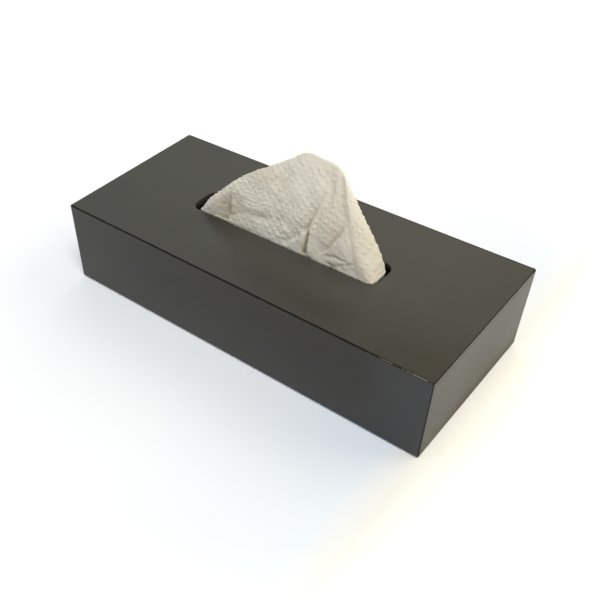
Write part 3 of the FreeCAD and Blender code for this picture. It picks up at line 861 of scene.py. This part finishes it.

# %% [markdown]
# ## The standing tissue: putting the sheet together
#
# Three layers of height are added to the loops: the folded panel's relief straight towards the viewer
# of the front, then dots and ripples along the surface's own normal. Light lost between the plies of a
# fold doesn't show on a surface without thickness, so shade is painted: every point also carries a number
# for how deep in a fold it lies, with patches of painted light and shade and a painted shade line along
# the strip's edge added, which the paper's material turns into a darker, browner tone.

# %% Fine relief and shade
EDGE_CALM = (5, 3)  # columns over which dots and ripples give way at the strip's edge
FOLD_DEPTH = 4.5  # mm, the depth at which a fold is at its darkest
STRIP_SHADE = 0.09
EDGE_SHADE_LINE = (3, 0.13)  # columns and strength of the painted shade line along the strip's edge
# painted shade of open paper, which leaves room for patches of painted light
OPEN_SHADE = 0.15
PAINTED_SHADE_PATCHES = [  # patches of painted shade, and of painted light where the strength is below nought: strength, middle and reach in mm
    (0.06, (36, 26), (10, 30)), (0.12, (-17, 39), (12, 6)), (-0.13, (-2, 3), (15, 8)),
    (-0.12, (-54, 5), (3.5, 6)), (0.14, (-34, 12), (7, 8)), (0.08, (-47, 9), (4, 4)),
]


def sample(field, x, h):
    """The panel's raster read between its cells."""
    column = np.clip((x - PANEL_LEFT) / PANEL_STEP, 0, field.shape[1] - 1.001)
    row = np.clip((h - PANEL_BOTTOM) / PANEL_STEP, 0, field.shape[0] - 1.001)
    c, r = column.astype(int), row.astype(int)
    return mixed(field.T, (c, c + 1), (r, r + 1), column - c, row - r)


def fine_relief(front, strip, back):
    """Dots and ripples of each stretch of the loop, in mm along the surface's normal."""
    x, h = front[..., 0], front[..., 2]
    front_calm, strip_calm = EDGE_CALM
    on_front = front_dots(x, h) + ripples(x, h)
    on_front *= np.clip(np.arange(FRONT_COLUMNS)[::-1] / front_calm, 0, 1)
    steps = np.linalg.norm(np.diff(strip[len(strip) // 3], axis=0), axis=1)
    round_strip = np.r_[0, np.cumsum(steps)][None, :] * np.ones(strip.shape[:2])
    h = strip[..., 2]
    on_strip = dots(round_strip + 0.25 * h, h, STRIP_TURN) * 0.9
    on_strip += 0.12 * cloud(round_strip + 70, h, 2.2, 41) + 0.35 * cloud(round_strip, h * 0.6, 6, 42)
    on_strip *= np.clip(np.arange(on_strip.shape[1]) / strip_calm, 0, 1)
    x, h = back[..., 0], back[..., 2]
    on_back = dots(x, h, BACK_TURN) + ripples(14 - x, h + 3)
    return np.concatenate([on_front, on_strip, on_back], axis=1)


def fold_shade(front, columns):
    """Painted shade for each point, from open paper up to 1 on the floor of the deepest folds, with patches.
    """
    # painted shade in the folds, darker where they are deeper and narrower
    hidden = np.clip(-relief / FOLD_DEPTH, 0, 1) ** 1.3
    hidden += 0.3 * np.clip((blurred(relief, 1.8 / PANEL_STEP) - relief) / 1.6, 0, 1)
    x, h = front[..., 0], front[..., 2]
    # painted shade low down in the recesses near the mouth
    low_down = 0.15 * np.clip(1 - h / 3.5, 0, 1) * np.clip(-sample(relief, x, h) / 2, 0, 1)
    patch_shade = OPEN_SHADE + patches(x, h, PAINTED_SHADE_PATCHES)
    deep = np.clip(sample(hidden, x, h) + low_down, 0, 1)
    shade = np.full((front.shape[0], columns), OPEN_SHADE)
    shade[:, :FRONT_COLUMNS] = patch_shade + deep * (1 - patch_shade)
    edge_h = h[:, -1:]
    # painted shade on the end strip, darker towards its foot
    shade[:, END_COLUMNS] += STRIP_SHADE * np.clip((46 - edge_h) / 16, 0, 1)
    # a painted shade line along the strip's edge, stronger higher up
    line_columns, line_strength = EDGE_SHADE_LINE
    line = slice(FRONT_COLUMNS - line_columns, FRONT_COLUMNS)
    shade[:, line] += line_strength * np.clip((edge_h - 6) / 14, 0.15, 1)
    return shade


print(f"the panel reads {sample(relief, np.array([18.0]), np.array([6.0]))[0]:.1f} mm in its deepest slit")

# %% The sheet above the mouth
def grid_normals(points):
    """Outward normals of a grid whose columns close into a loop."""
    round_loop = np.roll(points, -1, axis=1) - np.roll(points, 1, axis=1)
    upward = np.gradient(points, axis=0)
    normal = np.cross(round_loop, upward)
    length = np.linalg.norm(normal, axis=-1, keepdims=True)
    return normal / np.maximum(length, 1e-9)


def pulled_to(part, target, sharpness):
    """Moves a part's first column onto another column, and the rest less and less."""
    share = (1 - np.linspace(0, 1, part.shape[1])) ** sharpness
    return part + (target[:, None] - part[:, :1]) * share[None, :, None]


def make_sheet_points():
    """All points above the mouth in mm, and the fold shade of each."""
    front, strip, back = make_loops()
    x, h = front[..., 0], front[..., 2]
    front[..., 1] -= sample(relief, x, h) * np.clip(h / 0.5 + 0.7, 0, 1)
    front[..., 1] = np.where(h < 1.2, np.maximum(front[..., 1], MOUTH_FRONT), front[..., 1])
    strip = pulled_to(strip, front[:, -1], 4)
    strip[-1] = front[-1, -1]
    back = pulled_to(back, strip[:, -1], 3)
    back[-1] = front[-1, ::-1]
    whole = np.concatenate([front, strip, back[:, 1:]], axis=1)
    fine = fine_relief(front, strip, back[:, 1:])
    quiet = np.clip(whole[..., 2] / 1.5, 0, 1)
    whole = whole + grid_normals(whole) * (fine * quiet)[..., None]
    whole[-1, -(FRONT_COLUMNS - 1):] = whole[-1, :FRONT_COLUMNS - 1][::-1]
    whole[-1, END_COLUMNS] = whole[-1, FRONT_COLUMNS - 1]
    return whole, fold_shade(front, whole.shape[1])


whole, shade = make_sheet_points()
print(f"above the mouth: {whole.shape[0]} x {whole.shape[1]} points, {whole[..., 2].max():.1f} mm high")

# %% The pleated tail below the mouth
TAIL_ROWS = 26
PLEAT_STEP = 3.7  # mm along the loop
PLEAT_CLEAR = 1.0  # mm, how near the innermost folds come to the middle
PLEAT_UNEVEN = 0.38  # how far a pleat strays from its place, in pleats
END_PLEATS_X = 54.0  # what the pleats of the right-hand end gather towards
LEFT_ROOM = 14.0  # mm from the left end over which the pleats reach full depth
TAIL_SHADE = 0.4  # least shade of the paper inside the box


def hang_tail(mouth):
    """Rows below the mouth: the loop hangs straight down, gathered into pleats of uneven depth."""
    step = np.linalg.norm(np.roll(mouth, -1, axis=0) - mouth, axis=1)
    place = np.cumsum(step) - step
    rng = np.random.RandomState(7)
    pleats = int(round(place[-1] / PLEAT_STEP))
    strays = rng.uniform(-PLEAT_UNEVEN, PLEAT_UNEVEN, pleats)
    marks = (np.arange(pleats) + strays) * place[-1] / pleats
    phase = np.interp(place, marks, np.arange(pleats))
    depth = 1 - 0.45 * np.interp(place, marks, rng.uniform(0, 1, pleats))
    sway = np.interp(place, marks, rng.uniform(-0.9, 0.9, pleats))
    inmost = np.stack([mouth[:, 0], np.sign(mouth[:, 1]) * PLEAT_CLEAR], -1)
    inmost[END_COLUMNS] = mouth[END_COLUMNS, :2] * 0.2 + np.array([END_PLEATS_X, 0.0]) * 0.8
    inmost[:FRONT_COLUMNS, 1] = np.maximum(mouth[:FRONT_COLUMNS, 1], -PLEAT_CLEAR)
    room = np.clip((mouth[:, 0] - MOUTH_LEFT) / LEFT_ROOM, 0.05, 1)
    rows = []
    for row in range(TAIL_ROWS, 0, -1):
        drop = (row / TAIL_ROWS) ** 1.3
        gather = np.clip(drop / 0.45, 0, 1) ** 1.5
        fold = 0.5 - 0.5 * np.cos(2 * math.pi * phase + sway * drop * 2.4)
        points = mouth.copy()
        points[:, :2] += (inmost - mouth[:, :2]) * (depth * room * gather * fold)[:, None]
        points[:, 2] = -drop * (TAIL_DEPTH - 0.3)
        rows.append(points)
    return np.array(rows)


tail = hang_tail(whole[0])
tail_shade = np.clip(np.linspace(-1.2, 1, TAIL_ROWS), 0, 1)[:, None] * np.maximum(shade[0], TAIL_SHADE)
print(f"below the mouth: {TAIL_ROWS} rows down to {tail[..., 2].min():.1f} mm")

# %% The sheet as a mesh
def tube_faces(rings, count):
    """Faces between rings of the same number of points, ring after ring."""
    faces = []
    for start in range(0, (rings - 1) * count, count):
        for i in range(count):
            a, b = start + i, start + (i + 1) % count
            faces.append((a, b, b + count, a + count))
    return faces


def sheet_mesh(points, shade):
    """One closed-loop grid as a mesh in metres, with its fold shade as an attribute."""
    vertices = (points + np.array([0, 0, TOP * 1000])).reshape(-1, 3) / 1000
    mesh = bpy.data.meshes.new("standing_tissue_sheet")
    mesh.from_pydata(vertices.tolist(), [], tube_faces(*points.shape[:2]))
    mesh.attributes.new("fold_shade", "FLOAT", "POINT").data.foreach_set("value", shade.ravel())
    return mesh


def finish_sheet(mesh):
    """Welds points that coincide, drops faces that have shrunk to nothing, and shades it smooth."""
    work = bmesh.new()
    work.from_mesh(mesh)
    bmesh.ops.remove_doubles(work, verts=work.verts, dist=2e-6)
    bmesh.ops.dissolve_degenerate(work, edges=work.edges, dist=1e-6)
    for face in work.faces:
        face.smooth = True
    work.to_mesh(mesh)
    work.free()


tissue_mesh = sheet_mesh(np.concatenate([tail, whole]), np.concatenate([tail_shade, shade]))
finish_sheet(tissue_mesh)
tissue = new_object("standing_tissue_sheet", tissue_mesh)
area = sum(polygon.area for polygon in tissue_mesh.polygons)
print(f"tissue: {len(tissue_mesh.polygons)} faces, {area * 1e4:.0f} cm2 of paper")

# %% Tissue paper
FOLD_TONES = [  # painted shade, from open paper to the floor of the deepest folds
    (0.0, linear("FFFFFF")), (0.3, linear("E3DED4")), (0.65, linear("9C9581")), (1.0, linear("332F27"))
]


def make_tissue_paper():
    """Two-ply embossed tissue: matt, warm white and a little uneven, with browner, darker painted shade in
    its folds.
    """
    material, tree, shader = new_material("two_ply_embossed_tissue_paper")
    place = add(tree, WHERE)
    fibres = add(tree, CLOUDS, {"Vector": place, "Scale": per_metre(0.3846), "Detail": 4.0})
    uneven = add(tree, CLOUDS, {"Vector": place, "Scale": per_metre(11.11), "Detail": 3.0})
    tint = {0: uneven, 6: linear("F6F2E8"), 7: linear("ECE8DE")}
    tint = add(tree, MIX, tint)
    # the painted shade of each point, turned by the ramp into a browner, darker tone
    depth = add(tree, "ShaderNodeAttribute", output="Fac", attribute_name="fold_shade")
    shaded = {0: 1.0, 6: tint, 7: add(tree, RAMP, [depth], stops=FOLD_TONES)}
    plug(tree, shader, {
        "Base Color": add(tree, "ShaderNodeMix", shaded, 2, data_type="RGBA", blend_type="MULTIPLY"),
        "Normal": add(tree, BUMP, {"Height": fibres, "Distance": mm(0.2), "Strength": 0.25}),
        "Roughness": 0.95, "Specular IOR Level": 0.2, "Sheen Weight": 0.15,
    })
    return material


tissue_mesh.materials.append(make_tissue_paper())
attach(tissue, "tissue")
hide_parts("standing_tissue")
print(tissue_mesh.materials[0].name, "on", tissue.name)

# %% [markdown]
# ## The folded tissues in the drawer
#
# Each tissue in the stack is folded once. One folded tissue is drawn as a thin closed ribbon in a U;
# Geometry Nodes lay forty of them on each other, turn every other one round, and shift and turn each a
# hair, because no stack is perfectly true. The modifier's result is then kept as a plain mesh. A loop
# in Python would do the same, but the nodes keep count, pitch and disorder as dials of one modifier.

# %% One folded tissue
stack_low, stack_high = (Vector(corner) * 1000 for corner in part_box("tissue_stack"))
STACK_COUNT = 40
TOP_ROOM = 0.2  # mm left free above the stack
PITCH = (stack_high.z - stack_low.z - TOP_ROOM) / STACK_COUNT
LEAF = PITCH * 0.36  # thickness of one leaf, with its air
LEAF_AIR = 0.06  # mm between one folded tissue and the next
STACK_SHIFT = 0.45  # mm, how far a tissue may lie out of line
STACK_TURN = math.radians(0.25)
leaf_reach = (stack_high.y - stack_low.y) / 2 - 2 * STACK_SHIFT
half_long = (stack_high.x - stack_low.x) / 2 - 2 * STACK_SHIFT


def folded_profile():
    """Outline of one folded tissue across its fold: (y, z) in mm, fold at +y, open side at -y."""
    height = PITCH - LEAF_AIR
    fold_y = leaf_reach - height / 2
    turns = np.linspace(-math.pi / 2, math.pi / 2, 7)
    flat = [-leaf_reach + (leaf_reach + fold_y) * share for share in np.linspace(0, 1, 6)[:-1]]
    outline = []
    for half in (height / 2, LEAF - height / 2):  # along the outside, and back along the inside
        outline += [(y, height / 2 - half) for y in flat]
        outline += [(fold_y + abs(half) * math.cos(a), height / 2 + half * math.sin(a)) for a in turns]
        outline += [(y, height / 2 + half) for y in flat[::-1]]
    return outline


def folded_tissue_mesh():
    """The outline drawn along the fold, with both ends closed."""
    profile = folded_profile()
    stations = np.linspace(-half_long, half_long, 5)
    vertices = [(mm(x), mm(y), mm(z)) for x in stations for y, z in profile]
    count = len(profile)
    faces = tube_faces(len(stations), count)
    for first, way in ((0, -1), ((len(stations) - 1) * count, 1)):
        for i in range(count // 2 - 1):
            quad = [first + i, first + i + 1, first + count - 2 - i, first + count - 1 - i]
            faces.append(quad[::way])
    mesh = bpy.data.meshes.new("folded_tissue")
    mesh.from_pydata(vertices, [], faces)
    work = bmesh.new()
    work.from_mesh(mesh)
    bmesh.ops.recalc_face_normals(work, faces=work.faces)
    work.to_mesh(mesh)
    work.free()
    return mesh


one_tissue = folded_tissue_mesh()
print(f"one folded tissue: {len(one_tissue.polygons)} faces, {2 * leaf_reach:.1f} mm across its fold")

# %% Paper of the stack
DOT_EDGE = 0.07  # where a dot ends, as its radius squared in steps of the pattern


def make_stack_paper():
    """The same tissue lying flat: its dots are bump, on a square pattern set on its corner."""
    material, tree, shader = new_material("two_ply_tissue_folded_flat")
    place = add(tree, WHERE)
    turned = add(tree, "ShaderNodeVectorRotate", {"Vector": place, "Angle": math.pi / 4})
    cells = add(tree, SCALED, [turned, [per_metre(DOT_STEP)] * 3])
    cell = add(tree, FRACTION, [cells])
    squares = []
    for axis in add(tree, SPLIT, [cell], slice(2)):
        offset = add(tree, MINUS, [axis, 0.5])
        squares.append(add(tree, TIMES, [offset, offset]))
    dot = add(tree, FADE, [add(tree, PLUS, squares), 0.0, DOT_EDGE, 1.0, 0.0])
    crumple = add(tree, CLOUDS, {"Vector": place, "Scale": per_metre(6.667), "Detail": 4.0})
    height = add(tree, TIMES_PLUS, [crumple, 0.8, dot])
    blend = {0: crumple, 6: linear("E9E7DC"), 7: linear("DFDED2")}
    plug(tree, shader, {
        "Base Color": add(tree, MIX, blend),
        "Normal": add(tree, BUMP, {"Height": height, "Distance": mm(0.35), "Strength": 0.8}),
        "Roughness": 0.95, "Specular IOR Level": 0.2,
    })
    return material


stack_paper = make_stack_paper()
print(stack_paper.name, "with dots", DOT_STEP, "mm apart")

# %% Stacking with Geometry Nodes
DIALS = {
    "Count": "NodeSocketInt", "Pitch": "NodeSocketFloat", "Shift": "NodeSocketFloat",
    "Turn": "NodeSocketFloat", "Seed": "NodeSocketInt", "Paper": "NodeSocketMaterial",
}


def make_stacking_tree():
    """Copies of the incoming piece on a line upwards, each a little out of true."""
    tree = bpy.data.node_groups.new("stack_of_folded_pieces", "GeometryNodeTree")
    for name, kind in {"Geometry": "NodeSocketGeometry", **DIALS}.items():
        tree.interface.new_socket(name, in_out="INPUT", socket_type=kind)
    tree.interface.new_socket("Geometry", in_out="OUTPUT", socket_type="NodeSocketGeometry")
    given = tree.nodes.new("NodeGroupInput").outputs

    def spread(dial, offset):
        """A random value between minus and plus a dial, another for each copy."""
        least = add(tree, TIMES, [given[dial], -1.0])
        seed = add(tree, PLUS, [given["Seed"], float(offset)])
        return add(tree, "FunctionNodeRandomValue", {2: least, 3: given[dial], "Seed": seed}, 1)

    step = add(tree, JOIN, {"Z": given["Pitch"]})
    line = add(tree, "GeometryNodeMeshLine", {"Count": given["Count"], "Offset": step})
    parity = add(tree, MODULO, [add(tree, "GeometryNodeInputIndex"), 2.0])
    turn = add(tree, TIMES_PLUS, [parity, math.pi, spread("Turn", 1)])
    shift = add(tree, JOIN, [spread("Shift", 2), spread("Shift", 3)])
    moved = add(tree, "GeometryNodeSetPosition", {"Geometry": line, "Offset": shift})
    rotation = add(tree, "FunctionNodeEulerToRotation", [add(tree, JOIN, {"Z": turn})])
    copies = add(
        tree, "GeometryNodeInstanceOnPoints",
        {"Points": moved, "Instance": given["Geometry"], "Rotation": rotation},
    )
    real = add(tree, "GeometryNodeRealizeInstances", {"Geometry": copies})
    coloured = add(tree, "GeometryNodeSetMaterial", {"Geometry": real, "Material": given["Paper"]})
    plug(tree, tree.nodes.new("NodeGroupOutput"), {0: coloured})
    return tree


def grow(mesh, tree, values, name):
    """Runs a Geometry Nodes tree on a mesh and keeps the result as a plain mesh object."""
    seed_object = new_object(name + "_seed", mesh)
    modifier = seed_object.modifiers.new("grow", "NODES")
    modifier.node_group = tree
    for item in tree.interface.items_tree:
        if item.in_out == "INPUT" and item.name in values:
            modifier[item.identifier] = values[item.name]
    seed_object.update_tag()
    bpy.context.view_layer.update()
    evaluated = seed_object.evaluated_get(bpy.context.evaluated_depsgraph_get())
    result = new_object(name, bpy.data.meshes.new_from_object(evaluated))
    bpy.data.objects.remove(seed_object)
    return result


dials = {"Count": STACK_COUNT, "Pitch": mm(PITCH), "Shift": mm(STACK_SHIFT), "Turn": STACK_TURN,
         "Seed": 5, "Paper": stack_paper}
stack = grow(one_tissue, make_stacking_tree(), dials, "folded_tissue_stack")
middle = (stack_low + stack_high) / 2
BOTTOM_AIR = 0.03  # mm under the lowest tissue
stack.data.transform(Matrix.Translation((mm(middle.x), mm(middle.y), mm(stack_low.z + BOTTOM_AIR))))
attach(stack, "drawer")
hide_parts("tissue_stack")
stack_area = sum(polygon.area for polygon in stack.data.polygons)
print(f"stack: {len(stack.data.polygons)} faces, {stack_area / 2:.2f} m2 of paper in {STACK_COUNT} tissues")
